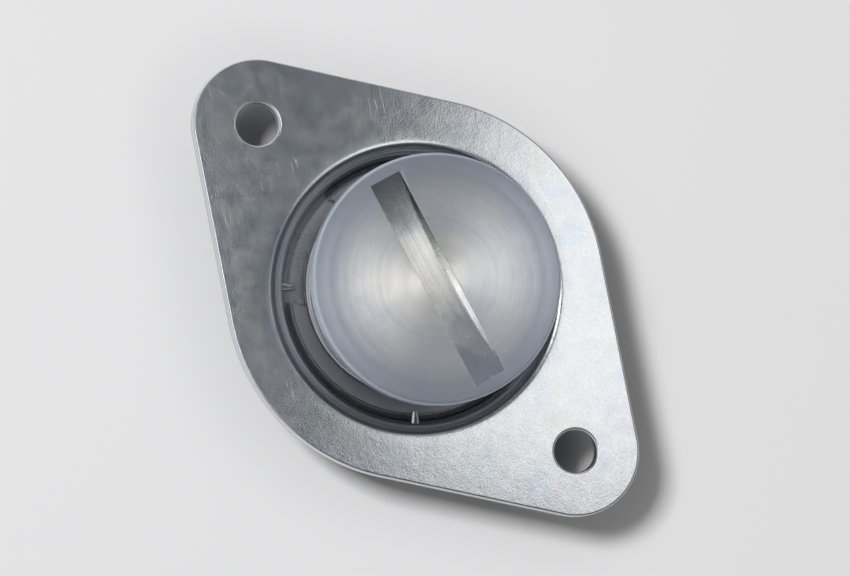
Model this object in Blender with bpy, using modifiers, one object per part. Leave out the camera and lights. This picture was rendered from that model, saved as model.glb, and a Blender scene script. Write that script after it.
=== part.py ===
"""Spring-loaded quarter turn panel fastener on a dished rivet plate.

The stud's axis is Z, and the plate's two rivet holes lie along X. The origin is on that axis at the neck's rim,
the lowest point, and +Z points out of the panel towards the head. The spring holds the stud popped up.
"""

import math

import bmesh
import bpy
from mathutils import Matrix, Vector

# Rivet plate, pressed from one sheet. Bend radii are those on the inside of each bend.
SHEET = 0.0011
RIVET_SPACING = 0.034925
RIVET_HOLE_DIAMETER = 0.0033
RIVET_EDGE_WIDTH = 0.00335
FLANGE_WIDTH = 0.0033
MOUTH_BEND = 0.0002
FLOOR_BEND = 0.0006
NECK_BEND = 0.0005
DISH_WALL_STRAIGHT = 0.0003
NECK_STRAIGHT = 0.0027
RIM_CHAMFER = 0.00012

# Stud, turned and slotted
HEAD_DIAMETER = 0.01905
HEAD_THICKNESS = 0.0018
HEAD_TOP_CHAMFER = 0.00022
HEAD_UNDERSIDE_CHAMFER = 0.00035
BODY_DIAMETER = 0.009525
BODY_LENGTH = 0.0127
UNDERCUT_DEPTH = 0.00076
UNDERCUT_FILLET = 0.0003
SHOULDER_CHAMFER = 0.0001
NOSE_RADIUS = 0.00065
TIP_RECESS = 0.0003

# Screwdriver slot, sawn by a disc whose size follows from the slot's length and depth
DRIVER_SLOT_LENGTH = 0.0170
DRIVER_SLOT_WIDTH = 0.0025
DRIVER_SLOT_DEPTH = 0.0012
DRIVER_SLOT_ANGLE = math.radians(-16.6)

# Cam slot for the wire that the stud hooks on to, with heights above the tip
CAM_WIDTH = 0.0029
CAM_ENTRY_WIDTH = 0.0031
CAM_BORE_DIAMETER = 0.0039
CAM_START_HEIGHT = 0.0005
CAM_SEAT_HEIGHT = 0.0034
CAM_DETENT_DROP = 0.00025
CAM_TURN = math.radians(90)
CAM_ENTRY_ANGLE = math.radians(58)

# Retaining washer, a horseshoe that lies on the dish floor round the undercut shank
WASHER_THICKNESS = 0.00065
WASHER_BORE_CLEARANCE = 0.0002
WASHER_TURN = math.radians(205)
STAKE_COUNT = 4
STAKE_REACH = 0.0008
STAKE_TIP_RADIUS = 0.0002
STAKE_ROOT_RADIUS = 0.00045
STAKE_FIRST_ANGLE = math.radians(45)

# Conical ejector spring, whose turns nest inside each other when it is pressed flat
WIRE_DIAMETER = 0.0008
COIL_GAP = 0.00015
SPRING_SHANK_CLEARANCE = 0.00025
SPRING_STAKE_CLEARANCE = 0.0001
FLAT_END_TURNS = 0.75

# Running clearances
HEAD_CLEARANCE = 0.000575
NECK_CLEARANCE = 0.00089
SEAT_GAP = 0.0001

# Facets
REVOLVE_STEPS = 64
BORE_FACETS = 32
CAM_STEPS = 15
SLOT_ARC_FACETS = 16
COIL_POINTS_PER_TURN = 24
ARC_CHORD = 0.00045
CUT_MARGIN = 0.001

# Sizes that follow from the ones above
HEAD_RADIUS = HEAD_DIAMETER / 2
BODY_RADIUS = BODY_DIAMETER / 2
SHANK_RADIUS = BODY_RADIUS - UNDERCUT_DEPTH
NECK_BORE_RADIUS = BODY_RADIUS + NECK_CLEARANCE
DISH_RADIUS = HEAD_RADIUS + HEAD_CLEARANCE
MOUTH_RADIUS = DISH_RADIUS + MOUTH_BEND + SHEET
FLANGE_RADIUS = MOUTH_RADIUS + FLANGE_WIDTH
END_RADIUS = RIVET_HOLE_DIAMETER / 2 + RIVET_EDGE_WIDTH

FLOOR_UNDERSIDE_Z = NECK_STRAIGHT + NECK_BEND
FLOOR_Z = FLOOR_UNDERSIDE_Z + SHEET
FLANGE_TOP_Z = FLOOR_Z + FLOOR_BEND + DISH_WALL_STRAIGHT + MOUTH_BEND + SHEET
FLANGE_UNDERSIDE_Z = FLANGE_TOP_Z - SHEET

WASHER_BOTTOM_Z = FLOOR_Z + SEAT_GAP
WASHER_TOP_Z = WASHER_BOTTOM_Z + WASHER_THICKNESS
WASHER_RADIUS = DISH_RADIUS - FLOOR_BEND

TIP_Z = TIP_RECESS
HEAD_UNDERSIDE_Z = TIP_Z + BODY_LENGTH
HEAD_TOP_Z = HEAD_UNDERSIDE_Z + HEAD_THICKNESS
SHOULDER_Z = WASHER_BOTTOM_Z - SEAT_GAP

SPRING_BASE_RADIUS = DISH_RADIUS - STAKE_REACH - SPRING_STAKE_CLEARANCE - WIRE_DIAMETER / 2
SPRING_TOP_RADIUS = SHANK_RADIUS + SPRING_SHANK_CLEARANCE + WIRE_DIAMETER / 2
SPRING_BASE_Z = WASHER_TOP_Z + SEAT_GAP + WIRE_DIAMETER / 2
SPRING_TOP_Z = HEAD_UNDERSIDE_Z - SEAT_GAP - WIRE_DIAMETER / 2


def clear_scene():
    for existing in list(bpy.data.objects):
        bpy.data.objects.remove(existing, do_unlink=True)


def new_collection(name):
    collection = bpy.data.collections.new(name)
    bpy.context.scene.collection.children.link(collection)
    return collection


def plated_steel(name, colour, roughness):
    material = bpy.data.materials.new(name)
    material.use_nodes = True
    shader = material.node_tree.nodes["Principled BSDF"]
    shader.inputs["Base Color"].default_value = (*colour, 1.0)
    shader.inputs["Roughness"].default_value = roughness
    shader.inputs["Metallic"].default_value = 1.0
    return material


def add_object(name, data, collection, material=None):
    item = bpy.data.objects.new(name, data)
    collection.objects.link(item)
    if material:
        data.materials.append(material)
    return item


def mesh_from_bmesh(name, bm):
    mesh = bpy.data.meshes.new(name)
    bm.to_mesh(mesh)
    bm.free()
    return mesh


def as_cutter(item):
    item.hide_render = True
    item.display_type = "WIRE"
    return item


def arc(centre, radius, start, end, facets=None):
    """Points on an arc in a plane, both ends included. Angles are in radians."""
    if facets is None:
        facets = max(2, round(radius * abs(end - start) / ARC_CHORD))
    angles = [start + (end - start) * i / facets for i in range(facets + 1)]
    return [(centre[0] + radius * math.cos(a), centre[1] + radius * math.sin(a)) for a in angles]


def turned(name, profile, collection, material=None):
    """A solid of revolution from a closed profile of (radius, height) points, run down its outer side."""
    mesh = bpy.data.meshes.new(name)
    edges = [(i, (i + 1) % len(profile)) for i in range(len(profile))]
    on_axis = [i for i, point in enumerate(profile) if point[0] == 0.0]
    if len(on_axis) == 2:
        edges = [edge for edge in edges if set(edge) != set(on_axis)]
    mesh.from_pydata([(radius, 0.0, height) for radius, height in profile], edges, [])
    item = add_object(name, mesh, collection, material)
    screw = item.modifiers.new("Turn", "SCREW")
    screw.axis = "Z"
    screw.angle = math.tau
    screw.steps = REVOLVE_STEPS
    screw.render_steps = REVOLVE_STEPS
    screw.use_merge_vertices = True
    screw.merge_threshold = 0.00001
    return item


def extruded(name, outline, bottom_z, top_z, collection, material=None):
    """A flat outline of (x, y) points given a thickness, made a mesh so that it can be cut or can cut."""
    curve = bpy.data.curves.new(name, "CURVE")
    curve.dimensions = "2D"
    curve.fill_mode = "BOTH"
    curve.extrude = (top_z - bottom_z) / 2
    spline = curve.splines.new("POLY")
    spline.points.add(len(outline) - 1)
    for point, (x, y) in zip(spline.points, outline):
        point.co = (x, y, 0.0, 1.0)
    spline.use_cyclic_u = True
    drawn = bpy.data.objects.new(name + "_outline", curve)
    collection.objects.link(drawn)
    drawn.location.z = (top_z + bottom_z) / 2
    bpy.context.view_layer.update()
    evaluated = drawn.evaluated_get(bpy.context.evaluated_depsgraph_get())
    mesh = bpy.data.meshes.new_from_object(evaluated)
    mesh.name = name
    bm = bmesh.new()
    bm.from_mesh(mesh)
    bmesh.ops.remove_doubles(bm, verts=bm.verts, dist=0.000001)
    bm.to_mesh(mesh)
    bm.free()
    item = add_object(name, mesh, collection, material)
    item.matrix_world = drawn.matrix_world.copy()
    bpy.data.objects.remove(drawn, do_unlink=True)
    return item


def cylinder(name, radius, depth, location, rotation, facets, collection, end_radius=None):
    bm = bmesh.new()
    bmesh.ops.create_cone(
        bm,
        cap_ends=True,
        segments=facets,
        radius1=radius,
        radius2=radius if end_radius is None else end_radius,
        depth=depth,
    )
    item = add_object(name, mesh_from_bmesh(name, bm), collection)
    item.location = location
    item.rotation_euler = rotation
    return item


def boolean(item, tool, operation):
    modifier = item.modifiers.new(tool.name, "BOOLEAN")
    modifier.operation = operation
    modifier.solver = "EXACT"
    modifier.object = as_cutter(tool)


def smooth_round_faces(item):
    item.data.shade_smooth()
    item.data.set_sharp_from_angle(angle=math.radians(30))


def pressing_side(depth):
    """The pressed sheet's line from the neck out to the mouth: 0 deep on its top face, SHEET deep beneath."""
    neck_centre = (NECK_BORE_RADIUS + SHEET + NECK_BEND, FLOOR_UNDERSIDE_Z - NECK_BEND)
    floor_centre = (DISH_RADIUS - FLOOR_BEND, FLOOR_Z + FLOOR_BEND)
    mouth_centre = (MOUTH_RADIUS, FLANGE_UNDERSIDE_Z - MOUTH_BEND)
    half_turn, quarter_turn = math.pi, math.pi / 2
    neck = arc(neck_centre, NECK_BEND + SHEET - depth, half_turn, quarter_turn)
    floor = arc(floor_centre, FLOOR_BEND + depth, -quarter_turn, 0.0)
    mouth = arc(mouth_centre, MOUTH_BEND + SHEET - depth, half_turn, quarter_turn)
    return neck + floor + mouth


def plate_profile():
    blank_radius = RIVET_SPACING / 2 + END_RADIUS + CUT_MARGIN
    neck_outer_radius = NECK_BORE_RADIUS + SHEET
    rim = [
        (neck_outer_radius, RIM_CHAMFER),
        (neck_outer_radius - RIM_CHAMFER, 0.0),
        (NECK_BORE_RADIUS + RIM_CHAMFER, 0.0),
        (NECK_BORE_RADIUS, RIM_CHAMFER),
    ]
    underside = [(blank_radius, FLANGE_UNDERSIDE_Z)] + pressing_side(SHEET)[::-1]
    top = pressing_side(0.0) + [(blank_radius, FLANGE_TOP_Z)]
    return underside + rim + top


def plate_outline():
    """A circle round the dish and one round each rivet hole, joined by the straight lines that touch both."""
    rivet_x = RIVET_SPACING / 2
    touch = math.acos((FLANGE_RADIUS - END_RADIUS) / rivet_x)
    right = arc((rivet_x, 0.0), END_RADIUS, -touch, touch, 14)
    far = arc((0.0, 0.0), FLANGE_RADIUS, touch, math.pi - touch, 14)
    left = arc((-rivet_x, 0.0), END_RADIUS, math.pi - touch, math.pi + touch, 14)
    near = arc((0.0, 0.0), FLANGE_RADIUS, math.pi + touch, math.tau - touch, 14)
    return right + far + left + near


def make_mounting_plate(parts, cutters, material):
    plate = turned("mounting_plate", plate_profile(), parts, material)
    blank = extruded(
        "plate_blank", plate_outline(), -CUT_MARGIN, FLANGE_TOP_Z + CUT_MARGIN, cutters
    )
    boolean(plate, blank, "INTERSECT")
    for side in (-1, 1):
        drill = cylinder(
            f"rivet_drill_{'left' if side < 0 else 'right'}",
            RIVET_HOLE_DIAMETER / 2,
            SHEET + 2 * CUT_MARGIN,
            (side * RIVET_SPACING / 2, 0.0, (FLANGE_TOP_Z + FLANGE_UNDERSIDE_Z) / 2),
            (0.0, 0.0, 0.0),
            BORE_FACETS,
            cutters,
        )
        boolean(plate, drill, "DIFFERENCE")
    stake_length = STAKE_REACH + SHEET / 2
    stake_middle = DISH_RADIUS - STAKE_REACH + stake_length / 2
    stake_z = WASHER_TOP_Z + SEAT_GAP + STAKE_ROOT_RADIUS
    for i in range(STAKE_COUNT):
        angle = STAKE_FIRST_ANGLE + math.tau * i / STAKE_COUNT
        stake = cylinder(
            f"stake_{i + 1}",
            STAKE_TIP_RADIUS,
            stake_length,
            (stake_middle * math.cos(angle), stake_middle * math.sin(angle), stake_z),
            (0.0, math.pi / 2, angle),
            12,
            cutters,
            end_radius=STAKE_ROOT_RADIUS,
        )
        boolean(plate, stake, "UNION")
    smooth_round_faces(plate)


def make_retaining_washer(parts, material):
    bore_radius = SHANK_RADIUS + WASHER_BORE_CLEARANCE
    mouth = math.asin(bore_radius / WASHER_RADIUS)
    rim = arc((0.0, 0.0), WASHER_RADIUS, mouth, math.tau - mouth, 48)
    bore = arc((0.0, 0.0), bore_radius, math.radians(270), math.radians(90), 24)
    turn = Matrix.Rotation(WASHER_TURN, 2)
    outline = [tuple(turn @ Vector(point)) for point in rim + bore]
    extruded("retaining_washer", outline, WASHER_BOTTOM_Z, WASHER_TOP_Z, parts, material)


def stud_profile():
    quarter_turn = math.pi / 2
    fillet_centre = (SHANK_RADIUS + UNDERCUT_FILLET, HEAD_UNDERSIDE_Z - UNDERCUT_FILLET)
    nose_centre = (BODY_RADIUS - NOSE_RADIUS, TIP_Z + NOSE_RADIUS)
    head = [
        (0.0, HEAD_TOP_Z),
        (HEAD_RADIUS - HEAD_TOP_CHAMFER, HEAD_TOP_Z),
        (HEAD_RADIUS, HEAD_TOP_Z - HEAD_TOP_CHAMFER),
        (HEAD_RADIUS, HEAD_UNDERSIDE_Z + HEAD_UNDERSIDE_CHAMFER),
        (HEAD_RADIUS - HEAD_UNDERSIDE_CHAMFER, HEAD_UNDERSIDE_Z),
    ]
    shank = arc(fillet_centre, UNDERCUT_FILLET, quarter_turn, 2 * quarter_turn, 3)
    shoulder = [
        (SHANK_RADIUS, SHOULDER_Z),
        (BODY_RADIUS - SHOULDER_CHAMFER, SHOULDER_Z),
        (BODY_RADIUS, SHOULDER_Z - SHOULDER_CHAMFER),
    ]
    nose = arc(nose_centre, NOSE_RADIUS, 0.0, -quarter_turn, 4)
    return head + shank + shoulder + nose + [(0.0, TIP_Z)]


def driver_slot_cutter(cutters):
    half_length = DRIVER_SLOT_LENGTH / 2
    saw_radius = (half_length**2 + DRIVER_SLOT_DEPTH**2) / (2 * DRIVER_SLOT_DEPTH)
    sweep = math.asin(half_length / saw_radius)
    facets = round(SLOT_ARC_FACETS * math.pi / sweep)
    return cylinder(
        "slot_saw",
        saw_radius,
        DRIVER_SLOT_WIDTH,
        (0.0, 0.0, HEAD_TOP_Z - DRIVER_SLOT_DEPTH + saw_radius),
        (math.pi / 2, 0.0, DRIVER_SLOT_ANGLE),
        facets,
        cutters,
    )


def cam_ramp_cutter(name, angle, cutters):
    """One arm of the helical slot: an upright rectangle swept round the axis while it climbs."""
    inner, outer = CAM_BORE_DIAMETER / 4, BODY_RADIUS + CUT_MARGIN
    low = TIP_Z + CAM_START_HEIGHT - CAM_WIDTH / 2
    climb = CAM_SEAT_HEIGHT + CAM_DETENT_DROP - CAM_START_HEIGHT
    bm = bmesh.new()
    corners = [(inner, low), (outer, low), (outer, low + CAM_WIDTH), (inner, low + CAM_WIDTH)]
    face = bm.faces.new([bm.verts.new((x, 0.0, z)) for x, z in corners])
    bmesh.ops.rotate(bm, verts=bm.verts, cent=(0, 0, 0), matrix=Matrix.Rotation(angle, 3, "Z"))
    bmesh.ops.spin(
        bm,
        geom=[face] + list(face.edges) + list(face.verts),
        cent=(0.0, 0.0, 0.0),
        axis=(0.0, 0.0, 1.0),
        dvec=(0.0, 0.0, climb / CAM_STEPS),
        angle=CAM_TURN,
        steps=CAM_STEPS,
    )
    bmesh.ops.recalc_face_normals(bm, faces=bm.faces)
    return add_object(name, mesh_from_bmesh(name, bm), cutters)


def cam_cutters(cutters):
    across = 2 * (BODY_RADIUS + CUT_MARGIN)
    start_z = TIP_Z + CAM_START_HEIGHT
    seat_z = TIP_Z + CAM_SEAT_HEIGHT
    entry_bottom = TIP_Z - CUT_MARGIN
    bm = bmesh.new()
    bmesh.ops.create_cube(
        bm, size=1.0, matrix=Matrix.Diagonal((across, CAM_ENTRY_WIDTH, start_z - entry_bottom, 1.0))
    )
    entry = add_object("cam_entry", mesh_from_bmesh("cam_entry", bm), cutters)
    entry.location.z = (start_z + entry_bottom) / 2
    entry.rotation_euler.z = CAM_ENTRY_ANGLE
    bore_top = seat_z + CAM_DETENT_DROP + CAM_BORE_DIAMETER / 2
    return [
        entry,
        cylinder(
            "cam_entry_roof",
            CAM_ENTRY_WIDTH / 2,
            across,
            (0.0, 0.0, start_z),
            (0.0, math.pi / 2, CAM_ENTRY_ANGLE),
            24,
            cutters,
        ),
        cam_ramp_cutter("cam_ramp_near", CAM_ENTRY_ANGLE, cutters),
        cam_ramp_cutter("cam_ramp_far", CAM_ENTRY_ANGLE + math.pi, cutters),
        cylinder(
            "cam_bore",
            CAM_BORE_DIAMETER / 2,
            bore_top - entry_bottom,
            (0.0, 0.0, (bore_top + entry_bottom) / 2),
            (0.0, 0.0, 0.0),
            BORE_FACETS,
            cutters,
        ),
        cylinder(
            "cam_detent",
            CAM_WIDTH / 2,
            across,
            (0.0, 0.0, seat_z),
            (0.0, math.pi / 2, CAM_ENTRY_ANGLE + CAM_TURN),
            24,
            cutters,
        ),
    ]


def make_stud(parts, cutters, material):
    stud = turned("stud", stud_profile(), parts, material)
    boolean(stud, driver_slot_cutter(cutters), "DIFFERENCE")
    for cutter in cam_cutters(cutters):
        boolean(stud, cutter, "DIFFERENCE")
    smooth_round_faces(stud)


def spring_points():
    """The wire's centre line: a cone of turns whose first and last lie flat."""
    turns = (SPRING_BASE_RADIUS - SPRING_TOP_RADIUS) / (WIRE_DIAMETER + COIL_GAP)
    count = round(turns * COIL_POINTS_PER_TURN)
    points = []
    for i in range(count + 1):
        turn = turns * i / count
        radius = SPRING_BASE_RADIUS - turn * (WIRE_DIAMETER + COIL_GAP)
        climb = (turn - FLAT_END_TURNS) / (turns - 2 * FLAT_END_TURNS)
        height = SPRING_BASE_Z + (SPRING_TOP_Z - SPRING_BASE_Z) * min(max(climb, 0.0), 1.0)
        angle = math.tau * turn
        points.append((radius * math.cos(angle), radius * math.sin(angle), height))
    return points


def make_ejector_spring(parts, material):
    curve = bpy.data.curves.new("ejector_spring", "CURVE")
    curve.dimensions = "3D"
    curve.bevel_depth = WIRE_DIAMETER / 2
    curve.bevel_resolution = 2
    curve.use_fill_caps = True
    points = spring_points()
    spline = curve.splines.new("POLY")
    spline.points.add(len(points) - 1)
    for point, place in zip(spline.points, points):
        point.co = (*place, 1.0)
    add_object("ejector_spring", curve, parts, material)


def main():
    clear_scene()
    parts = new_collection("quarter_turn_panel_fastener")
    cutters = new_collection("cutters")
    make_mounting_plate(parts, cutters, plated_steel("plate_zinc", (0.63, 0.65, 0.68), 0.32))
    make_retaining_washer(parts, plated_steel("washer_zinc", (0.55, 0.57, 0.60), 0.38))
    make_ejector_spring(parts, plated_steel("spring_steel", (0.48, 0.49, 0.51), 0.30))
    make_stud(parts, cutters, plated_steel("stud_zinc", (0.68, 0.69, 0.74), 0.28))


main()
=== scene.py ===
"""Looks of a spring-loaded quarter turn panel fastener, modelled round its CAD frame.

Metres, with +Z along the stud's axis out of the panel and X through the two rivet holes. The origin
is at the neck's rim.
"""

import math

import bmesh
import bpy
from mathutils import Matrix, Vector


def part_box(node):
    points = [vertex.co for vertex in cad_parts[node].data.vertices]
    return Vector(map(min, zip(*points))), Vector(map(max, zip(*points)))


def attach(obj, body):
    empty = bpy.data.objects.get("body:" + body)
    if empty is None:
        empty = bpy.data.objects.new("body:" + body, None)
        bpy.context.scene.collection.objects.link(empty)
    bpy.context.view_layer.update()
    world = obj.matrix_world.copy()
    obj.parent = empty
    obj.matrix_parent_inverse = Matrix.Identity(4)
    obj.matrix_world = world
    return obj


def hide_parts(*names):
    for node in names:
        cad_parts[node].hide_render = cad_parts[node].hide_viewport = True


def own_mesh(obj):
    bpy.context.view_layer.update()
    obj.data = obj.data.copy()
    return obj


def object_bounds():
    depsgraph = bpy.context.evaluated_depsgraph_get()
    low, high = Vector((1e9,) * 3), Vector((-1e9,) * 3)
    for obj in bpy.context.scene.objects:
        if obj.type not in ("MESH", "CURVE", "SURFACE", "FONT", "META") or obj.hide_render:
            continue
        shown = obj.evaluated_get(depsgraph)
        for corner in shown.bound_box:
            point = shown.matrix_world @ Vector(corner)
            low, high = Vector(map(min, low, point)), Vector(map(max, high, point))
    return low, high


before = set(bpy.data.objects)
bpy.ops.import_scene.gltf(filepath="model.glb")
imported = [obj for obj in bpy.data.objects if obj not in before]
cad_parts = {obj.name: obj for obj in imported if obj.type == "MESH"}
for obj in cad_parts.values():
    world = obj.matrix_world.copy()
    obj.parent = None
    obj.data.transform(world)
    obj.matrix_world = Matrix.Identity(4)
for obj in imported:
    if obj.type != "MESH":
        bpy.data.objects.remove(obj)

MM = 0.001
TOUCH = 0.002 * MM

cad_low, cad_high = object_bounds()
plate_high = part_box("mounting_plate")[1]
washer_low, washer_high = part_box("retaining_washer")
stud_low, stud_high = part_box("stud")

# Pressed plate
SHEET = 1.1 * MM
FLANGE_TOP = plate_high.z
FLANGE_UNDERSIDE = FLANGE_TOP - SHEET
FLANGE_RADIUS = plate_high.y
END_RADIUS = 5.0 * MM
RIVET_X = plate_high.x - END_RADIUS
RIVET_PLACES = (RIVET_X, -RIVET_X)
RIVET_HOLE_RADIUS = 1.65 * MM
DISH_RADIUS = 10.1 * MM
DISH_FLOOR = 4.3 * MM
NECK_BORE_RADIUS = 5.6525 * MM
MOUTH_BEND = 0.2 * MM
FLOOR_BEND = 0.6 * MM
NECK_BEND = 0.5 * MM
RIM_CHAMFER = 0.12 * MM
OUTLINE_ROUNDING = 0.17 * MM
OUTLINE_BURR = 0.05 * MM
RIVET_HOLE_ROUNDING = 0.2 * MM
MOUTH_RADIUS = DISH_RADIUS + MOUTH_BEND + SHEET
DISH_JOIN_RADIUS = MOUTH_RADIUS + 0.8 * MM
STAKE_COUNT = 4
STAKE_START = math.radians(45)
STAKE_TIP_RADIUS = 0.2 * MM
STAKE_ROOT_RADIUS = 0.45 * MM
STAKE_ROUNDING = 0.16 * MM
STAKE_INNER_END = 9.3 * MM
STAKE_OUTER_END = 10.65 * MM
STAKE_HEIGHT = 5.6 * MM

# Retaining washer
WASHER_RADIUS = 9.5 * MM
WASHER_SLOT_HALF_WIDTH = 4.2025 * MM
WASHER_TURN = math.radians(205)
WASHER_EDGE = 0.08 * MM
WASHER_EDGE_ANGLE = math.radians(40)

# Stud
HEAD_RADIUS = stud_high.x
HEAD_TOP = stud_high.z
HEAD_UNDERSIDE = HEAD_TOP - 1.8 * MM
HEAD_TOP_CHAMFER = 0.22 * MM
HEAD_UNDERSIDE_CHAMFER = 0.35 * MM
HEAD_EDGE_WIDTH = 0.4 * MM
CHAMFER_ROUNDING = 0.045 * MM
BODY_RADIUS = 4.7625 * MM
SHANK_RADIUS = 4.0025 * MM
SHANK_FILLET = 0.3 * MM
SHOULDER = DISH_FLOOR
SHOULDER_CHAMFER = 0.1 * MM
NOSE_RADIUS = 0.65 * MM
TIP = stud_low.z
POLE_RADIUS = 0.25 * MM
DRIVER_SLOT_LENGTH = 17.0 * MM
DRIVER_SLOT_WIDTH = 2.5 * MM
DRIVER_SLOT_DEPTH = 1.2 * MM
DRIVER_SLOT_ANGLE = math.radians(-16.6)
DRIVER_SLOT_LIP = 0.06 * MM
DRIVER_SLOT_END = 0.15 * MM
SLOT_ALONG = Vector((math.cos(DRIVER_SLOT_ANGLE), math.sin(DRIVER_SLOT_ANGLE), 0))
SLOT_ACROSS = Vector((-SLOT_ALONG.y, SLOT_ALONG.x, 0))
CAM_WIDTH = 2.9 * MM
CAM_ENTRY_WIDTH = 3.1 * MM
CAM_BORE_RADIUS = 1.95 * MM
CAM_START_HEIGHT = 0.5 * MM
CAM_SEAT_HEIGHT = 3.4 * MM
CAM_DETENT_DROP = 0.25 * MM
CAM_ENTRY_ANGLE = math.radians(58)
CAM_TURN = math.radians(90)
CAM_OVERSHOOT = 1.0 * MM

# Ejector spring
WIRE_RADIUS = 0.4 * MM
SPRING_BASE_RADIUS = 8.8 * MM
SPRING_TOP_RADIUS = 4.6525 * MM
SPRING_BASE = 5.55 * MM
SPRING_TOP = 12.5 * MM
COIL_PITCH = 0.95 * MM
FLAT_END_TURNS = 0.75

# Facets of the round shapes, and steps of the winding ones
DISH_FACETS = 192
FLANGE_FACETS = 256
FLANGE_END_FACETS = 128
HOLE_FACETS = 64
STAKE_FACETS = 32
WASHER_SLOT_FACETS = 96
STUD_FACETS = 192
SAW_FACETS = 720
DRILL_FACETS = 48
FLOOR_FACETS = 128
WIRE_SIDES = 16
COIL_POINTS_PER_TURN = 64
CAM_STEPS = 24

# How far a face's normal may lean and still count as upright, and as part of the blanked edge
UPRIGHT_LEAN = 0.1
BLANKED_EDGE_LEAN = 0.35
# Faces that meet at less than this are one flat face
FLAT_ANGLE = math.radians(0.3)

# Colours of the finishes
ZINC = (0.70, 0.72, 0.75)
ZINC_BLUE = (0.61, 0.67, 0.76)
ZINC_LILAC = (0.70, 0.67, 0.75)
ZINC_GREEN = (0.63, 0.70, 0.67)
ZINC_PALE = (0.83, 0.84, 0.84)
ZINC_SHADE = (0.54, 0.56, 0.60)
TORN_EDGE_TINT = (0.50, 0.52, 0.56)
# Painted shade for the inside of the dish
DISH_PAINTED_SHADE_TINT = (0.40, 0.43, 0.44)
# The washer's colours, both darkened as painted shade for the deep dish
WASHER_PAINTED_SHADE_DARK = (0.34, 0.36, 0.39)
WASHER_PAINTED_SHADE_PALE = (0.46, 0.47, 0.50)
WIRE_BRIGHT = (0.55, 0.56, 0.58)
WIRE_DULL = (0.40, 0.41, 0.44)
# Painted shade for the head's rim, then a painted highlight and the point it centres on
HEAD_RIM_PAINTED_SHADE_TINT = (0.42, 0.47, 0.57)
HEAD_PAINTED_HIGHLIGHT_TINT = (0.88, 0.86, 0.82)
HEAD_PAINTED_HIGHLIGHT_PLACE = (-1.2 * MM, -1.0 * MM)
SAWN_DARK_TINT = (0.34, 0.35, 0.36)

# Camera, at the angle from which the photograph shows the fastener
PHOTO_SIZE = (850, 576)
VIEW_AZIMUTH = math.radians(-19.9)
VIEW_ELEVATION = math.radians(78)
VIEW_ROLL = math.radians(65.3)
VIEW_DISTANCE = 500 * MM
VIEW_HEIGHT = 44 * MM
VIEW_SIDESTEP = 0.6 * MM
CLIP_START = 10 * MM

# Lamps that only the metal mirrors, each with its reach along the mirrored view and its shift beside it
PANEL_REACH = 95 * MM
PANEL_SIZE = (32 * MM, 51 * MM)
PANEL_SHIFT = (18 * MM, 8.5 * MM)
PANEL_SIDE = math.radians(-15)
PANEL_RADIANCE = 1.25
CARD_REACH = 300 * MM
CARD_SIZE = (90 * MM, 110 * MM)
CARD_SHIFT = (56 * MM, 124 * MM)
CARD_RADIANCE = 0.6
SLOT_CARD_SIZE = (60 * MM, 60 * MM)
SLOT_CARD_SHIFT = (-132 * MM, 92 * MM)
SLOT_CARD_RADIANCE = 0.5
GLINT_REACH = 300 * MM
GLINT_SIZE = (100 * MM, 100 * MM)
GLINT_SHIFT = (-104 * MM, -45 * MM)
GLINT_RADIANCE = 2.7
PANEL_COLOUR = (1.0, 0.99, 0.955)

# Key lamp, which nothing mirrors
KEY_DISTANCE = 900 * MM
KEY_SIZE = 200 * MM
KEY_HEIGHT = math.radians(58)
KEY_LEVEL = 0.64
KEY_COLOUR = (1.0, 1.0, 1.0)

# Surroundings: what the metal mirrors, the soft light and the backdrop
BRIGHT_SIDE = Vector((-0.92, -0.39, 0.0))
BRIGHT_SIDE_SPAN = (-0.5, 0.7)
HORIZON_LEVEL = 0.26
HORIZON_BRIGHT_RISE = 0.65
OVERHEAD_SPAN = (0.40, 0.90)
OVERHEAD_LEVEL = 0.085
OVERHEAD_COOL = 0.12
SOFT_LEVEL = 0.04
SOFT_BAND_RISE = 0.72
SOFT_BAND_LOWER = (0.68, 0.80)
SOFT_BAND_UPPER = (0.97, 0.87)
BACKDROP_COLOUR = (0.74, 0.74, 0.75)

# Floor
FLOOR_RADIUS = 1.6
FLOOR_OPENING_GAP = 0.02 * MM
FLOOR_OPENING_RADIUS = NECK_BORE_RADIUS + SHEET - RIM_CHAMFER - FLOOR_OPENING_GAP
FLOOR_COLOUR = (0.86, 0.86, 0.87)
FLOOR_BOUNCE_COLOUR = (0.20, 0.20, 0.20)


def only(item):
    bpy.ops.object.select_all(action="DESELECT")
    item.select_set(True)
    bpy.context.view_layer.objects.active = item


def edit(item):
    only(item)
    bpy.ops.object.mode_set(mode="EDIT")
    bpy.ops.mesh.select_all(action="DESELECT")


def done():
    bpy.ops.object.mode_set(mode="OBJECT")


def pick(item, kind, rule):
    """Selects the edges or faces that the rule takes, and nothing else."""
    bpy.ops.mesh.select_mode(type=kind)
    bpy.ops.mesh.select_all(action="DESELECT")
    shape = bmesh.from_edit_mesh(item.data)
    for part in shape.edges if kind == "EDGE" else shape.faces:
        if rule(part):
            part.select_set(True)
    bmesh.update_edit_mesh(item.data)


def pick_edges(item, rule):
    """Selects the edges that have both ends where the rule says."""
    pick(item, "EDGE", lambda edge: all(rule(corner.co) for corner in edge.verts))


def pick_faces(item, rule):
    """Selects the faces whose middle and normal the rule takes."""
    pick(item, "FACE", lambda face: rule(face.calc_center_median(), face.normal))


def on_ring(radius, height, x=0.0):
    """The rule for points on a level circle."""

    def rule(point):
        return abs(math.hypot(point.x - x, point.y) - radius) < TOUCH and abs(point.z - height) < TOUCH

    return rule


def bevel(width, segments):
    bpy.ops.mesh.bevel(offset=width, segments=segments, affect="EDGES", clamp_overlap=False)


def bevel_rings(item, *rings):
    """Bevels rings of (radius, height, width, segments), one after the other."""
    for radius, height, width, segments in rings:
        pick_edges(item, on_ring(radius, height))
        bevel(width, segments)


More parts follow.
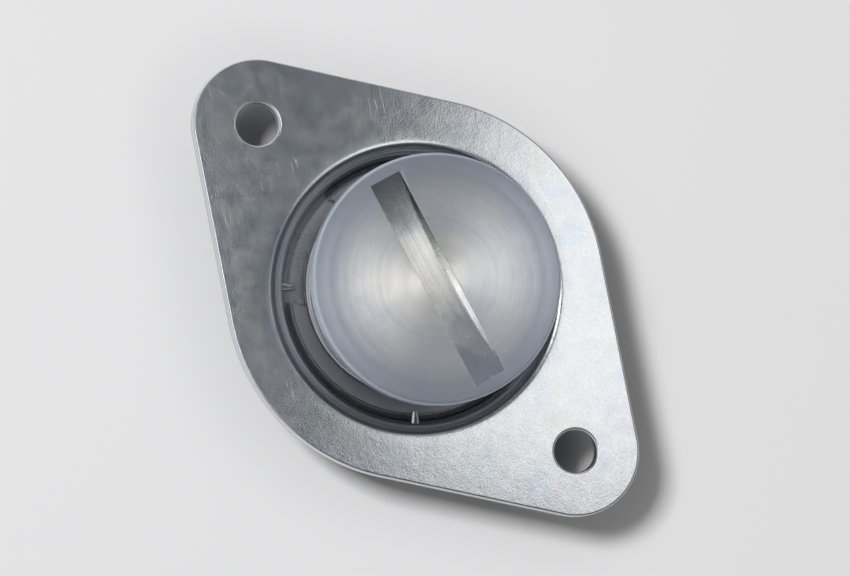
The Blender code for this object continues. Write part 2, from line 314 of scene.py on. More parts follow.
def close(item):
    """Merges what meets, turns the faces outwards and ends the editing."""
    bpy.ops.mesh.select_all(action="SELECT")
    bpy.ops.mesh.remove_doubles(threshold=TOUCH / 2)
    bpy.ops.mesh.normals_make_consistent(inside=False)
    done()


def turn(name, corners, facets):
    """A turned shape, left in edit mode: a circle, extruded through corners of (radius, height)."""
    bpy.ops.object.select_all(action="DESELECT")
    radius, height = corners[0]
    bpy.ops.mesh.primitive_circle_add(vertices=facets, radius=radius, location=(0, 0, height))
    item = bpy.context.object
    item.name = name
    bpy.ops.object.transform_apply()
    bpy.ops.object.mode_set(mode="EDIT")
    bpy.ops.mesh.select_mode(type="EDGE")
    bpy.ops.mesh.select_all(action="SELECT")
    for next_radius, next_height in corners[1:]:
        bpy.ops.mesh.extrude_edges_move(TRANSFORM_OT_translate={"value": (0, 0, next_height - height)})
        size = next_radius / radius
        bpy.ops.transform.resize(value=(size, size, 1), center_override=(0, 0, next_height))
        radius, height = next_radius, next_height
    return item


def bar(name, radius, length, facets, middle, rotation=(0.0, 0.0, 0.0)):
    bpy.ops.object.select_all(action="DESELECT")
    bpy.ops.mesh.primitive_cylinder_add(
        vertices=facets, radius=radius, depth=length, location=middle, rotation=rotation
    )
    bpy.context.object.name = name
    bpy.ops.object.transform_apply()
    return bpy.context.object


def upright(name, radius, bottom, top, facets, x=0.0, y=0.0):
    """An upright round bar between two heights."""
    return bar(name, radius, top - bottom, facets, (x, y, (top + bottom) / 2))


def join(first, *others):
    only(first)
    for other in others:
        other.select_set(True)
    bpy.ops.object.join()
    return first


def hull(first, *others):
    """One straight-sided block round several shapes."""
    join(first, *others)
    edit(first)
    bpy.ops.mesh.select_all(action="SELECT")
    bpy.ops.mesh.convex_hull()
    bpy.ops.mesh.select_all(action="SELECT")
    bpy.ops.mesh.dissolve_limited(angle_limit=FLAT_ANGLE)
    done()
    return first


def modify(item, kind, **settings):
    """Adds a modifier and applies it."""
    only(item)
    modifier = item.modifiers.new(kind.lower(), kind)
    for name, value in settings.items():
        setattr(modifier, name, value)
    bpy.ops.object.modifier_apply(modifier=modifier.name)


def cut(item, tool, operation="DIFFERENCE"):
    modify(item, "BOOLEAN", operation=operation, solver="EXACT", object=tool)
    bpy.data.objects.remove(tool, do_unlink=True)


def smooth(item, angle=30, crease=None):
    """Smooth shading, apart from steep edges and those that the crease rule picks."""
    only(item)
    bpy.ops.object.shade_smooth_by_angle(angle=math.radians(angle))
    if crease:
        edit(item)
        pick_edges(item, crease)
        bpy.ops.mesh.mark_sharp()
        done()
    modify(item, "WEIGHTED_NORMAL", keep_sharp=True)


def make_dish():
    """The plate's dish and neck, turned from its sheet."""
    wall = DISH_RADIUS + SHEET
    neck = NECK_BORE_RADIUS + SHEET
    floor_underside = DISH_FLOOR - SHEET
    corners = [
        (DISH_JOIN_RADIUS, FLANGE_UNDERSIDE),
        (wall, FLANGE_UNDERSIDE),
        (wall, floor_underside),
        (neck, floor_underside),
        (neck, 0.0),
        (NECK_BORE_RADIUS, 0.0),
        (NECK_BORE_RADIUS, DISH_FLOOR),
        (DISH_RADIUS, DISH_FLOOR),
        (DISH_RADIUS, FLANGE_TOP),
        (DISH_JOIN_RADIUS, FLANGE_TOP),
    ]
    dish = turn("mounting_plate_finished", corners, DISH_FACETS)
    bevel_rings(
        dish,
        (wall, FLANGE_UNDERSIDE, MOUTH_BEND, 4),
        (wall, floor_underside, FLOOR_BEND + SHEET, 12),
        (neck, floor_underside, NECK_BEND, 5),
        (neck, 0.0, RIM_CHAMFER, 2),
        (NECK_BORE_RADIUS, 0.0, RIM_CHAMFER, 2),
        (NECK_BORE_RADIUS, DISH_FLOOR, NECK_BEND + SHEET, 12),
        (DISH_RADIUS, DISH_FLOOR, FLOOR_BEND, 6),
        (DISH_RADIUS, FLANGE_TOP, MOUTH_BEND + SHEET, 12),
    )
    done()
    return dish


def pick_outline(flange, height):
    """Selects the flange's outer edges at one height, which each border one upright face."""

    def rule(edge):
        middle = (edge.verts[0].co + edge.verts[1].co) / 2
        sides = [face for face in edge.link_faces if abs(face.normal.z) < UPRIGHT_LEAN]
        from_hole = min(math.hypot(middle.x - x, middle.y) for x in RIVET_PLACES)
        outside = from_hole > 2 * RIVET_HOLE_RADIUS and middle.to_2d().length > DISH_JOIN_RADIUS + TOUCH
        return outside and abs(middle.z - height) < TOUCH and len(sides) == 1

    pick(flange, "EDGE", rule)


def on_join_wall(middle, normal):
    """The wall of the hole that the dish fills."""
    return middle.to_2d().length < DISH_JOIN_RADIUS and abs(normal.z) < UPRIGHT_LEAN


def make_flange():
    """The flange with its rivet holes, open where the dish joins it."""
    flange = upright("flange", FLANGE_RADIUS, FLANGE_UNDERSIDE, FLANGE_TOP, FLANGE_FACETS)
    ends = []
    for x in RIVET_PLACES:
        ends.append(upright("end", END_RADIUS, FLANGE_UNDERSIDE, FLANGE_TOP, FLANGE_END_FACETS, x))
    hull(flange, *ends)
    cut(flange, upright("punch", DISH_JOIN_RADIUS, 0.0, 2 * FLANGE_TOP, DISH_FACETS))
    for x in RIVET_PLACES:
        cut(flange, upright("drill", RIVET_HOLE_RADIUS, 0.0, 2 * FLANGE_TOP, HOLE_FACETS, x))
    edit(flange)
    for height, outline_edge, hole_edge in (
        (FLANGE_TOP, OUTLINE_ROUNDING, RIVET_HOLE_ROUNDING),
        (FLANGE_UNDERSIDE, OUTLINE_BURR, OUTLINE_BURR),
    ):
        for x in RIVET_PLACES:
            pick_edges(flange, on_ring(RIVET_HOLE_RADIUS, height, x))
            bevel(hole_edge, 3)
        pick_outline(flange, height)
        bevel(outline_edge, 4)
    pick_faces(flange, on_join_wall)
    bpy.ops.mesh.delete(type="FACE")
    done()
    return flange


def make_stake(angle):
    """A small cone that comes through the dish's wall, with a rounded tip."""
    middle = (STAKE_INNER_END + STAKE_OUTER_END) / 2
    bpy.ops.object.select_all(action="DESELECT")
    bpy.ops.mesh.primitive_cone_add(
        vertices=STAKE_FACETS,
        radius1=STAKE_TIP_RADIUS,
        radius2=STAKE_ROOT_RADIUS,
        depth=STAKE_OUTER_END - STAKE_INNER_END,
        location=(middle * math.cos(angle), middle * math.sin(angle), STAKE_HEIGHT),
        rotation=(0.0, math.pi / 2, angle),
    )
    bpy.ops.object.transform_apply()
    stake = bpy.context.object
    edit(stake)
    pick_edges(stake, lambda point: point.to_2d().length < STAKE_INNER_END + STAKE_ROUNDING)
    bevel(STAKE_ROUNDING, 4)
    done()
    return stake


def make_plate():
    plate = make_dish()
    join(plate, make_flange())
    edit(plate)
    close(plate)
    for i in range(STAKE_COUNT):
        cut(plate, make_stake(STAKE_START + math.tau * i / STAKE_COUNT), "UNION")
    smooth(plate)
    return plate


def make_washer():
    """A horseshoe: a disc with a slot from its middle out through one side."""
    washer = upright("retaining_washer_finished", WASHER_RADIUS, washer_low.z, washer_high.z, DISH_FACETS)
    slot_ends = []
    for reach in (0.0, 2 * WASHER_RADIUS):
        x = reach * math.cos(WASHER_TURN)
        y = reach * math.sin(WASHER_TURN)
        slot_ends.append(upright("slot", WASHER_SLOT_HALF_WIDTH, 0.0, FLANGE_TOP, WASHER_SLOT_FACETS, x, y))
    cut(washer, hull(*slot_ends))
    modify(
        washer,
        "BEVEL",
        width=WASHER_EDGE,
        segments=3,
        limit_method="ANGLE",
        angle_limit=WASHER_EDGE_ANGLE,
    )
    smooth(washer)
    return washer


def make_stud():
    corners = [
        (POLE_RADIUS, TIP),
        (BODY_RADIUS, TIP),
        (BODY_RADIUS, SHOULDER),
        (SHANK_RADIUS, SHOULDER),
        (SHANK_RADIUS, HEAD_UNDERSIDE),
        (HEAD_RADIUS, HEAD_UNDERSIDE),
        (HEAD_RADIUS, HEAD_TOP),
        (POLE_RADIUS, HEAD_TOP),
    ]
    stud = turn("stud_finished", corners, STUD_FACETS)
    bevel_rings(
        stud,
        (BODY_RADIUS, TIP, NOSE_RADIUS, 8),
        (BODY_RADIUS, SHOULDER, SHOULDER_CHAMFER, 2),
        (SHANK_RADIUS, HEAD_UNDERSIDE, SHANK_FILLET, 5),
        (HEAD_RADIUS, HEAD_UNDERSIDE, HEAD_UNDERSIDE_CHAMFER, 1),
        (HEAD_RADIUS, HEAD_TOP, HEAD_TOP_CHAMFER, 1),
    )
    for height in (HEAD_TOP, TIP):
        pick_edges(stud, on_ring(POLE_RADIUS, height))
        bpy.ops.mesh.edge_face_add()
    bevel_rings(
        stud,
        (HEAD_RADIUS - HEAD_TOP_CHAMFER, HEAD_TOP, CHAMFER_ROUNDING, 2),
        (HEAD_RADIUS, HEAD_TOP - HEAD_TOP_CHAMFER, CHAMFER_ROUNDING, 2),
        (HEAD_RADIUS, HEAD_UNDERSIDE + HEAD_UNDERSIDE_CHAMFER, CHAMFER_ROUNDING, 2),
        (HEAD_RADIUS - HEAD_UNDERSIDE_CHAMFER, HEAD_UNDERSIDE, CHAMFER_ROUNDING, 2),
    )
    close(stud)
    saw_driver_slot(stud)
    cut_cam(stud)
    smooth(stud, crease=on_slot_end)
    return stud


def on_slot_end(point):
    """Where the saw's round leaves the head's top."""
    on_top = abs(point.z - HEAD_TOP) < TOUCH
    at_end = abs(abs(point.dot(SLOT_ALONG)) - DRIVER_SLOT_LENGTH / 2) < DRIVER_SLOT_END
    return on_top and at_end and point.to_2d().length < HEAD_RADIUS - HEAD_EDGE_WIDTH


def on_slot_lip(point):
    """The driver slot's two long edges."""
    on_top = abs(point.z - HEAD_TOP) < TOUCH
    beside = abs(abs(point.dot(SLOT_ACROSS)) - DRIVER_SLOT_WIDTH / 2) < TOUCH
    return on_top and beside and abs(point.dot(SLOT_ALONG)) < DRIVER_SLOT_LENGTH / 2 + TOUCH


def saw_driver_slot(stud):
    """Cuts the slot with a round saw, so that its bottom is an arc that runs out at both ends."""
    half_length = DRIVER_SLOT_LENGTH / 2
    saw_radius = (half_length**2 + DRIVER_SLOT_DEPTH**2) / (2 * DRIVER_SLOT_DEPTH)
    middle = (0, 0, HEAD_TOP - DRIVER_SLOT_DEPTH + saw_radius)
    rotation = (math.pi / 2, 0, DRIVER_SLOT_ANGLE)
    cut(stud, bar("saw", saw_radius, DRIVER_SLOT_WIDTH, SAW_FACETS, middle, rotation))
    edit(stud)
    pick_edges(stud, on_slot_lip)
    bevel(DRIVER_SLOT_LIP, 2)
    done()


def cut_cam(stud):
    """Cuts the cam slot: entry across the tip, two climbing arms, bore and the seat that they end in."""
    reach = BODY_RADIUS + CAM_OVERSHOOT
    start = TIP + CAM_START_HEIGHT
    seat = TIP + CAM_SEAT_HEIGHT
    bottom = TIP - CAM_OVERSHOOT
    bore_top = seat + CAM_DETENT_DROP + CAM_BORE_RADIUS
    entry = hull(
        cross_drill(CAM_ENTRY_WIDTH / 2, start, CAM_ENTRY_ANGLE, reach),
        cross_drill(CAM_ENTRY_WIDTH / 2, bottom, CAM_ENTRY_ANGLE, reach),
    )
    cut(stud, entry)
    for first_angle in (CAM_ENTRY_ANGLE, CAM_ENTRY_ANGLE + math.pi):
        cut(stud, cam_ramp(first_angle, reach))
    cut(stud, upright("bore", CAM_BORE_RADIUS, bottom, bore_top, HOLE_FACETS))
    cut(stud, cross_drill(CAM_WIDTH / 2, seat, CAM_ENTRY_ANGLE + CAM_TURN, reach))


def cross_drill(radius, height, angle, reach):
    """A level round bar through the axis."""
    return bar("cross_drill", radius, 2 * reach, DRILL_FACETS, (0, 0, height), (0, math.pi / 2, angle))


def cam_ramp(first_angle, outer):
    """One arm of the climbing slot: an upright plane, extruded, turned and lifted step by step."""
    inner = CAM_BORE_RADIUS / 2
    step = (CAM_SEAT_HEIGHT + CAM_DETENT_DROP - CAM_START_HEIGHT) / CAM_STEPS
    bpy.ops.object.select_all(action="DESELECT")
    bpy.ops.mesh.primitive_plane_add(size=1.0)
    ramp = bpy.context.object
    ramp.name = "cam_ramp"
    ramp.scale = (outer - inner, CAM_WIDTH, 1.0)
    bpy.ops.object.transform_apply()
    ramp.location = ((outer + inner) / 2, 0, TIP + CAM_START_HEIGHT)
    ramp.rotation_euler.x = math.pi / 2
    bpy.ops.object.transform_apply()
    ramp.rotation_euler.z = first_angle
    bpy.ops.object.transform_apply()
    bpy.ops.object.mode_set(mode="EDIT")
    bpy.ops.mesh.select_mode(type="FACE")
    bpy.ops.mesh.select_all(action="SELECT")
    for _ in range(CAM_STEPS):
        bpy.ops.mesh.extrude_region_move(TRANSFORM_OT_translate={"value": (0, 0, step)})
        bpy.ops.transform.rotate(value=-CAM_TURN / CAM_STEPS, orient_axis="Z", center_override=(0, 0, 0))
    bpy.ops.mesh.select_all(action="SELECT")
    bpy.ops.mesh.normals_make_consistent(inside=False)
    done()
    return ramp


def spring_line():
    """The wire's middle: a cone of turns that lie flat at both ends."""
    turns = (SPRING_BASE_RADIUS - SPRING_TOP_RADIUS) / COIL_PITCH
    count = round(turns * COIL_POINTS_PER_TURN)
    for i in range(count + 1):
        turn_number = turns * i / count
        radius = SPRING_BASE_RADIUS - turn_number * COIL_PITCH
        climb = (turn_number - FLAT_END_TURNS) / (turns - 2 * FLAT_END_TURNS)
        climb = min(max(climb, 0.0), 1.0)
        angle = math.tau * turn_number
        height = SPRING_BASE + (SPRING_TOP - SPRING_BASE) * climb
        yield radius * math.cos(angle), radius * math.sin(angle), height


def make_spring():
    wire = bpy.data.curves.new("wire", "CURVE")
    wire.dimensions = "3D"
    wire.bevel_depth = WIRE_RADIUS
    wire.bevel_resolution = WIRE_SIDES // 2 - 2
    wire.use_fill_caps = True
    places = list(spring_line())
    line = wire.splines.new("POLY")
    line.points.add(len(places) - 1)
    for point, place in zip(line.points, places):
        point.co = (*place, 1.0)
    spring = bpy.data.objects.new("ejector_spring_finished", wire)
    bpy.context.scene.collection.objects.link(spring)
    only(spring)
    bpy.ops.object.convert(target="MESH")
    spring = bpy.context.object
    edit(spring)
    close(spring)
    smooth(spring, 40)
    return spring


class Value:
    """A socket's number, which varies from place to place. Arithmetic on it adds Math nodes."""

    def __init__(self, tree, socket):
        self.tree = tree
        self.socket = socket

    def maths(self, operation, first, second):
        return self.tree.node("ShaderNodeMath", {"operation": operation}, {0: first, 1: second})

    def __add__(self, other):
        return self.maths("ADD", self, other)

    __radd__ = __add__

    def __sub__(self, other):
        return self.maths("SUBTRACT", self, other)

    def __rsub__(self, other):
        return self.maths("SUBTRACT", other, self)

    def __mul__(self, other):
        return self.maths("MULTIPLY", self, other)

    __rmul__ = __mul__

    def __pow__(self, other):
        return self.maths("POWER", self, other)

    def above(self, start, end):
        """0 at start and 1 at end, with a soft step between."""
        return self.tree.node(
            "ShaderNodeMapRange",
            {"interpolation_type": "SMOOTHSTEP"},
            {"Value": self, "From Min": start, "From Max": end},
        )


class Nodes:
    """A node tree that is written as expressions."""

    def __init__(self, tree):
        self.tree = tree

    def node(self, kind, settings=None, inputs=None, output=0):
        node = self.tree.nodes.new(kind)
        for name, value in (settings or {}).items():
            setattr(node, name, value)
        for name, value in (inputs or {}).items():
            self.feed(node.inputs[name], value)
        return Value(self, node.outputs[output])

    def feed(self, socket, value):
        if isinstance(value, Value):
            self.tree.links.new(value.socket, socket)
        else:
            socket.default_value = value

    def split(self, vector):
        return tuple(self.node("ShaderNodeSeparateXYZ", inputs={0: vector}, output=axis) for axis in "XYZ")

    def mix(self, share, first, second):
        """The first colour at share 0 and the second at 1. Inputs 6 and 7 and output 2 are colours."""
        colours = [(*c, 1.0) if isinstance(c, tuple) else c for c in (first, second)]
        return self.node("ShaderNodeMix", {"data_type": "RGBA"}, {0: share, 6: colours[0], 7: colours[1]}, 2)


class Finish(Nodes):
    """A metal finish on Object coordinates, ending in one Principled shader."""

    def __init__(self, name):
        self.material = bpy.data.materials.new(name)
        self.material.use_nodes = True
        super().__init__(self.material.node_tree)
        self.shader = self.tree.nodes["Principled BSDF"]
        self.shader.inputs["Metallic"].default_value = 1.0
        self.place = self.node("ShaderNodeTexCoord", output="Object")
        self.x, self.y, self.z = self.split(self.place)
        self.radius = self.away((0.0, 0.0))

    def away(self, middle):
        """Level distance from an upright line."""
        x = self.x - middle[0]
        y = self.y - middle[1]
        return (x * x + y * y) ** 0.5

    def noise(self, size, detail=2.0, roughness=0.5, place=None, stretch=(1, 1, 1), offset=0.0):
        """Noise whose blotches are about size metres wide, from 0 to 1."""
        scale = tuple(1 / (size * s) for s in stretch)
        moved = self.node(
            "ShaderNodeMapping",
            inputs={"Vector": place or self.place, "Scale": scale, "Location": (offset, offset, offset)},
        )
        return self.node(
            "ShaderNodeTexNoise",
            inputs={"Vector": moved, "Scale": 1.0, "Detail": detail, "Roughness": roughness},
            output="Fac",
        )

    def line_noise(self, along, size, detail=2.0):
        """Noise that only changes with one number, such as the distance from the axis."""
        return self.node(
            "ShaderNodeTexNoise",
            {"noise_dimensions": "1D"},
            {"W": along * (1 / size), "Scale": 1.0, "Detail": detail},
            "Fac",
        )

    def bump(self, height, depth, under=None):
        """Height from 0 to 1 raises the surface by depth metres."""
        inputs = {"Height": height, "Distance": depth, "Strength": 1.0}
        if under is not None:
            inputs["Normal"] = under
        return self.node("ShaderNodeBump", {}, inputs, "Normal")

    def done(self, colour, roughness, normal):
        self.feed(self.shader.inputs["Base Color"], colour)
        self.feed(self.shader.inputs["Roughness"], roughness)
        self.feed(self.shader.inputs["Normal"], normal)
        return self.material


def zinc_colour(finish, pale=0.25):
    """Thin passivated zinc: pale metal with soft bluish, lilac and greenish patches."""
    blue = finish.noise(3.2 * MM, 3.0, offset=3.1).above(0.45, 0.68)
    lilac = finish.noise(2.7 * MM, 3.0, offset=11.7).above(0.48, 0.70)
    green = finish.noise(3.6 * MM, 2.0, offset=23.9).above(0.52, 0.74)
    light = finish.noise(0.9 * MM, 4.0, 0.65, offset=7.3).above(0.45, 0.75)
    colour = finish.mix(blue * 0.75, ZINC, ZINC_BLUE)
    colour = finish.mix(lilac * 0.7, colour, ZINC_LILAC)
    colour = finish.mix(green * 0.55, colour, ZINC_GREEN)
    return finish.mix(light * pale, colour, ZINC_PALE)


def scratches(finish, angle, length, width, amount, offset):
    """A few fine straight marks in one direction, as a mask that is 1 in a mark."""
    turned = finish.node(
        "ShaderNodeMapping",
        inputs={"Vector": finish.place, "Rotation": (0.0, 0.0, angle)},
    )
    marks = finish.noise(width, 0.0, place=turned, stretch=(length / width, 1, length / width), offset=offset)
    here = finish.noise(4.0 * MM, 1.0, offset=offset + 40).above(0.48, 0.66)
    return marks.above(1 - amount, 1.06 - amount) * here


def plate_zinc():
    """Pressed sheet: mottled, with fine scratches, smoother from the mouth inwards, painted shade in the
    dish.
    """
    finish = Finish("plate_zinc_finish")
    mottle = finish.noise(1.3 * MM, 4.0, 0.6)
    grain = finish.noise(0.16 * MM, 3.0, 0.6, offset=4.4)
    marks = scratches(finish, 0.55, 3.2 * MM, 0.05 * MM, 0.26, 2.0)
    marks = marks + scratches(finish, -0.35, 2.4 * MM, 0.05 * MM, 0.25, 9.0)
    burnished = finish.radius.above(MOUTH_RADIUS + 0.1 * MM, MOUTH_RADIUS - 0.15 * MM)
    deep = finish.z.above(FLANGE_TOP - 0.4 * MM, FLANGE_TOP - 1.5 * MM)
    inside = finish.radius.above(DISH_RADIUS + 0.5 * MM, DISH_RADIUS + 0.3 * MM)
    roughness = 0.10 + mottle * 0.11 + grain * 0.06 + marks * 0.06
    roughness = roughness - burnished * 0.06 + deep * 0.16
    normal = finish.bump(mottle * (1 - burnished * 0.8), 0.010 * MM)
    normal = finish.bump((grain - marks * 0.15) * (1 - burnished * 0.6), 0.0045 * MM, normal)
    colour = finish.mix(grain.above(0.35, 0.75) * 0.35, zinc_colour(finish), ZINC_SHADE)
    # Painted shade: the colour darkens deep inside the dish, where shade falls.
    colour = finish.mix(deep * inside * (0.35 + mottle * 0.4), colour, DISH_PAINTED_SHADE_TINT)
    return finish.done(colour, roughness, normal)


def sheared_edge():
    """The blanked edge: a burnished band at the top, then a torn matt one with upright streaks."""
    finish = Finish("sheared_edge_finish")
    streaks = finish.noise(0.09 * MM, 3.0, 0.6, stretch=(1, 1, 9))
    ragged = finish.z + finish.noise(0.8 * MM) * (0.25 * MM)
    torn = ragged.above(FLANGE_TOP - 0.45 * MM, FLANGE_TOP - 0.62 * MM)
    colour = finish.mix(torn * 0.5, ZINC, TORN_EDGE_TINT)
    roughness = 0.24 + streaks * 0.12 + torn * 0.16
    normal = finish.bump(streaks * (0.3 + torn * 0.7), 0.012 * MM)
    return finish.done(colour, roughness, normal)


def washer_zinc():
    """Dull plating on the washer, its colours darkened as painted shade for where it lies deep in the dish.
    """
    finish = Finish("washer_zinc_finish")
    mottle = finish.noise(1.1 * MM, 4.0, 0.6, offset=5.5)
    grain = finish.noise(0.3 * MM, 3.0, 0.6, offset=8.8)
    # Painted shade: the washer's colours are dark for the shade deep in the dish.
    colour = finish.mix(mottle * 0.5, WASHER_PAINTED_SHADE_DARK, WASHER_PAINTED_SHADE_PALE)
    normal = finish.bump(grain, 0.0012 * MM)
    return finish.done(colour, 0.36 + mottle * 0.14, normal)


def spring_wire():
    """Drawn wire: streaks that run round the axis with the turns."""
    finish = Finish("spring_steel_finish")
    lines = finish.line_noise(finish.radius + finish.z * 0.6, 0.05 * MM)
    dull = finish.noise(1.5 * MM, 3.0)
    colour = finish.mix(dull * 0.6, WIRE_BRIGHT, WIRE_DULL)
    normal = finish.bump(lines, 0.003 * MM)
    return finish.done(colour, 0.22 + dull * 0.12 + lines * 0.06, normal)


def head_colour(finish):
    """Head plating: a pale warm painted highlight round the middle, bluish painted shade towards the rim."""
    colour = zinc_colour(finish, 0.35)
    # Painted highlight: a pale warm patch round a point just off the middle of the top.
    middle = finish.away(HEAD_PAINTED_HIGHLIGHT_PLACE) + finish.noise(3.0 * MM, 2.0, offset=31.0) * (4.0 * MM)
    painted_highlight = middle.above(8.0 * MM, 3.0 * MM)
    # Painted shade: darker and bluish towards the rim of the top.
    rim = finish.radius.above(5.5 * MM, 9.0 * MM)
    on_top = finish.z.above(HEAD_TOP - 1.5 * MM, HEAD_TOP - 1.2 * MM)
    colour = finish.mix(rim * on_top * 0.75, colour, HEAD_RIM_PAINTED_SHADE_TINT)
    return finish.mix(painted_highlight * on_top * 0.8, colour, HEAD_PAINTED_HIGHLIGHT_TINT)


def stud_zinc():
    """Turned metal: feed marks in rings, which stretch what it mirrors outwards, under soft patches."""
    finish = Finish("stud_zinc_finish")
    finish.shader.inputs["Anisotropic"].default_value = 0.8
    finish.shader.inputs["Anisotropic Rotation"].default_value = 0.25
    waver = finish.noise(6.0 * MM, 1.0) * (0.15 * MM)
    on_face = finish.z.above(HEAD_TOP - 0.03 * MM, HEAD_TOP - 0.01 * MM)
    rings = finish.line_noise(finish.radius + waver, 0.09 * MM, 3.0)
    coarse = finish.line_noise(finish.radius + (HEAD_TOP - finish.z) + waver, 0.6 * MM, 2.0)
    around = finish.line_noise(finish.z + waver, 0.09 * MM, 3.0)
    mottle = finish.noise(1.4 * MM, 4.0, 0.6, offset=1.9)
    grain = finish.noise(0.15 * MM, 3.0, 0.6, offset=6.1)
    turned = rings * on_face + around * (1 - on_face)
    rim = finish.radius.above(4.0 * MM, 9.0 * MM)
    roughness = 0.18 + mottle * 0.12 + coarse * 0.12 + (0.10 + rim * 0.12) * on_face
    normal = finish.bump(mottle, 0.006 * MM)
    normal = finish.bump(turned, 0.009 * MM, normal)
    normal = finish.bump(grain, 0.003 * MM, normal)
    colour = finish.mix((turned + coarse * 0.6).above(0.7, 1.1) * 0.3, head_colour(finish), ZINC_SHADE)
    return finish.done(colour, roughness, normal)


def sawn_zinc():
    """The driver slot: fine saw marks along its length, and darker blotches that gather towards one end."""
    finish = Finish("sawn_zinc_finish")
    along = finish.x * SLOT_ALONG.x + finish.y * SLOT_ALONG.y
    across = finish.y * SLOT_ALONG.x - finish.x * SLOT_ALONG.y
    waver = finish.noise(5.0 * MM, 0.0) * (0.10 * MM)
    marks = finish.line_noise(across + waver, 0.17 * MM, 1.0)
    chatter = finish.line_noise(along + waver, 0.6 * MM, 1.0)
    mottle = finish.noise(1.4 * MM, 2.0, 0.5, offset=14.0)
    # Darker blotches, more of them towards one end of the slot.
    dark_blotches = finish.noise(1.8 * MM, 2.0, 0.5, offset=3.0) + along.above(-2.5 * MM, -8.0 * MM) * 0.7
    colour = finish.mix(marks.above(0.45, 0.75) * 0.35, head_colour(finish), ZINC_SHADE)
    colour = finish.mix(dark_blotches.above(0.5, 1.1) * 0.8, colour, SAWN_DARK_TINT)
    normal = finish.bump(marks, 0.004 * MM)
    normal = finish.bump(chatter, 0.002 * MM, normal)
    return finish.done(colour, 0.20 + mottle * 0.12, normal)


def dress(item, body, node, slot, *finishes):
    """Gives a piece its finishes and its body, and hides the CAD node it stands for; slot is not used."""
    for finish in finishes:
        item.data.materials.append(finish)
    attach(item, body)
    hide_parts(node)


def on_blanked_edge(middle, normal):
    steep = abs(normal.z) < BLANKED_EDGE_LEAN
    return steep and middle.z > FLANGE_UNDERSIDE and middle.to_2d().length > DISH_JOIN_RADIUS


def in_driver_slot(middle, normal):
    inside = abs(middle.dot(SLOT_ACROSS)) < DRIVER_SLOT_WIDTH / 2 + TOUCH
    deep = HEAD_TOP - DRIVER_SLOT_DEPTH - TOUCH < middle.z < HEAD_TOP - TOUCH
    return inside and deep and abs(middle.dot(SLOT_ALONG)) < DRIVER_SLOT_LENGTH / 2


def finish_faces(item, rule):
    """The faces that the rule takes get the second finish."""
    edit(item)
    pick_faces(item, rule)
    item.active_material_index = 1
    bpy.ops.object.material_slot_assign()
    done()


def make_pieces():
    plate = make_plate()
    dress(plate, "plate", "mounting_plate", "plate_zinc", plate_zinc(), sheared_edge())
    finish_faces(plate, on_blanked_edge)
    dress(make_washer(), "plate", "retaining_washer", "washer_zinc", washer_zinc())
    spring = make_spring()
    dress(spring, "ejector", "ejector_spring", "spring_steel", spring_wire())
    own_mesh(spring)
    stud = make_stud()
    dress(stud, "stud", "stud", "stud_zinc", stud_zinc(), sawn_zinc())
    finish_faces(stud, in_driver_slot)


def view_axes():
    """Right, up and back of the camera, in the object's frame."""
    turned = (
        Matrix.Rotation(VIEW_AZIMUTH, 3, "Z")
        @ Matrix.Rotation(math.pi / 2 - VIEW_ELEVATION, 3, "X")
        @ Matrix.Rotation(VIEW_ROLL, 3, "Z")
    )
    return turned.col[0], turned.col[1], turned.col[2]


def make_camera():
    right, up, back = view_axes()
    centre = Vector((0, 0, FLANGE_TOP))
    data = bpy.data.cameras.new("camera")
    camera = bpy.data.objects.new("camera", data)
    bpy.context.scene.collection.objects.link(camera)
    camera.matrix_world = Matrix((right, up, back)).transposed().to_4x4()
    camera.location = centre + back * VIEW_DISTANCE + right * VIEW_SIDESTEP
    frame_width = VIEW_HEIGHT * PHOTO_SIZE[0] / PHOTO_SIZE[1]
    data.lens = data.sensor_width * VIEW_DISTANCE / frame_width
    data.clip_start = CLIP_START
    bpy.context.scene.camera = camera


def place_lamp(name, place, aim, turn_to, size, energy, colour):
    """A rectangular lamp whose first side runs along turn_to."""
    outward = (place - aim).normalized()
    along = (turn_to - outward * turn_to.dot(outward)).normalized()
    data = bpy.data.lights.new(name, "AREA")
    data.shape = "RECTANGLE"
    data.size, data.size_y = size
    data.energy = energy
    data.color = colour
    lamp = bpy.data.objects.new(name, data)
    bpy.context.scene.collection.objects.link(lamp)
    lamp.matrix_world = Matrix((along, outward.cross(along), outward)).transposed().to_4x4()
    lamp.location = place
    lamp.visible_camera = False
    return lamp


def make_lamps():
    """A key lamp, and soft panels beside the mirrored view that grade flat faces from grey to white."""
    right, up, back = view_axes()
    centre = Vector((0, 0, FLANGE_TOP))
    mirrored = Vector((-back.x, -back.y, back.z))
    side = right * math.cos(PANEL_SIDE) + up * math.sin(PANEL_SIDE)
    across = up * math.cos(PANEL_SIDE) - right * math.sin(PANEL_SIDE)
    for name, reach, shift, size, radiance in (
        ("panel", PANEL_REACH, PANEL_SHIFT, PANEL_SIZE, PANEL_RADIANCE),
        ("card", CARD_REACH, CARD_SHIFT, CARD_SIZE, CARD_RADIANCE),
        ("slot_card", CARD_REACH, SLOT_CARD_SHIFT, SLOT_CARD_SIZE, SLOT_CARD_RADIANCE),
        ("glint", GLINT_REACH, GLINT_SHIFT, GLINT_SIZE, GLINT_RADIANCE),
    ):
        place = centre + mirrored * reach + side * shift[0] + across * shift[1]
        energy = radiance * math.pi * size[0] * size[1]
        lamp = place_lamp(name, place, centre, side, size, energy, PANEL_COLOUR)
        lamp.visible_diffuse = False
    aside = BRIGHT_SIDE * math.cos(KEY_HEIGHT) + Vector((0, 0, math.sin(KEY_HEIGHT)))
    place = centre + aside * KEY_DISTANCE
    energy = KEY_LEVEL * math.pi**2 * KEY_DISTANCE**2 / math.sin(KEY_HEIGHT)
    key = place_lamp("key", place, centre, Vector((0, 0, 1)), (KEY_SIZE, KEY_SIZE), energy, KEY_COLOUR)
    key.visible_glossy = False


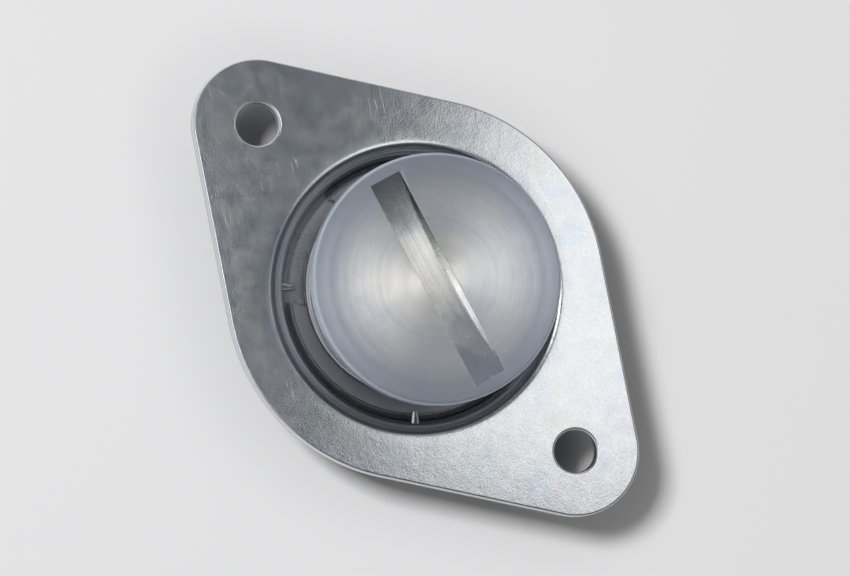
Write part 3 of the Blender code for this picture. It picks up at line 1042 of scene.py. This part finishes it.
def make_world():
    """A plain pale studio.

    What the metal mirrors is bright low down on one side, and dark overhead. The soft light comes from
    a band high up, and the camera sees a plain backdrop.
    """
    world = bpy.data.worlds.new("studio")
    bpy.context.scene.world = world
    world.use_nodes = True
    sky = Nodes(world.node_tree)
    x, y, z = sky.split(sky.node("ShaderNodeTexCoord", output="Generated"))
    towards = (x * BRIGHT_SIDE.x + y * BRIGHT_SIDE.y).above(*BRIGHT_SIDE_SPAN)
    low = HORIZON_LEVEL + towards * HORIZON_BRIGHT_RISE
    overhead = z.above(*OVERHEAD_SPAN)
    level = low * (1 - overhead) + overhead * OVERHEAD_LEVEL
    cool = overhead * OVERHEAD_COOL
    mirrored = sky.node(
        "ShaderNodeCombineColor", inputs={0: level * (1 - cool), 1: level, 2: level * (1 + cool)}
    )
    soft = SOFT_LEVEL + z.above(*SOFT_BAND_LOWER) * z.above(*SOFT_BAND_UPPER) * SOFT_BAND_RISE
    spread = sky.node("ShaderNodeCombineColor", inputs={0: soft, 1: soft, 2: soft})
    glossy = sky.node("ShaderNodeLightPath", output="Is Glossy Ray")
    seen = sky.node("ShaderNodeLightPath", output="Is Camera Ray")
    background = world.node_tree.nodes["Background"].inputs["Color"]
    sky.feed(background, sky.mix(seen, sky.mix(glossy, spread, mirrored), BACKDROP_COLOUR))


def make_floor():
    """Pale floor, which can be looked through from below and throws little light back up at the plate.

    It is open inside the neck's rim, where nothing shows it from above, so that the stud's tip has
    light and room.
    """
    level = cad_low.z - TOUCH
    floor = turn("floor", [(FLOOR_OPENING_RADIUS, level), (FLOOR_RADIUS, level)], FLOOR_FACETS)
    bpy.ops.mesh.select_all(action="SELECT")
    bpy.ops.mesh.normals_make_consistent(inside=True)
    done()
    material = bpy.data.materials.new("floor_finish")
    material.use_nodes = True
    nodes = Nodes(material.node_tree)
    shader = material.node_tree.nodes["Principled BSDF"]
    shader.inputs["Roughness"].default_value = 0.9
    shader.inputs["Specular IOR Level"].default_value = 0.1
    scattered = nodes.node("ShaderNodeLightPath", output="Diffuse Depth")
    nodes.feed(shader.inputs["Base Color"], nodes.mix(scattered, FLOOR_COLOUR, FLOOR_BOUNCE_COLOUR))
    behind = nodes.node("ShaderNodeNewGeometry", output="Backfacing")
    clear = nodes.node("ShaderNodeBsdfTransparent")
    solid = Value(nodes, shader.outputs[0])
    mixed = nodes.node("ShaderNodeMixShader", inputs={0: behind, 1: solid, 2: clear})
    nodes.feed(material.node_tree.nodes["Material Output"].inputs["Surface"], mixed)
    floor.data.materials.append(material)


make_camera()
make_pieces()
make_floor()
make_lamps()
make_world()
bpy.context.scene.view_settings.view_transform = "Standard"
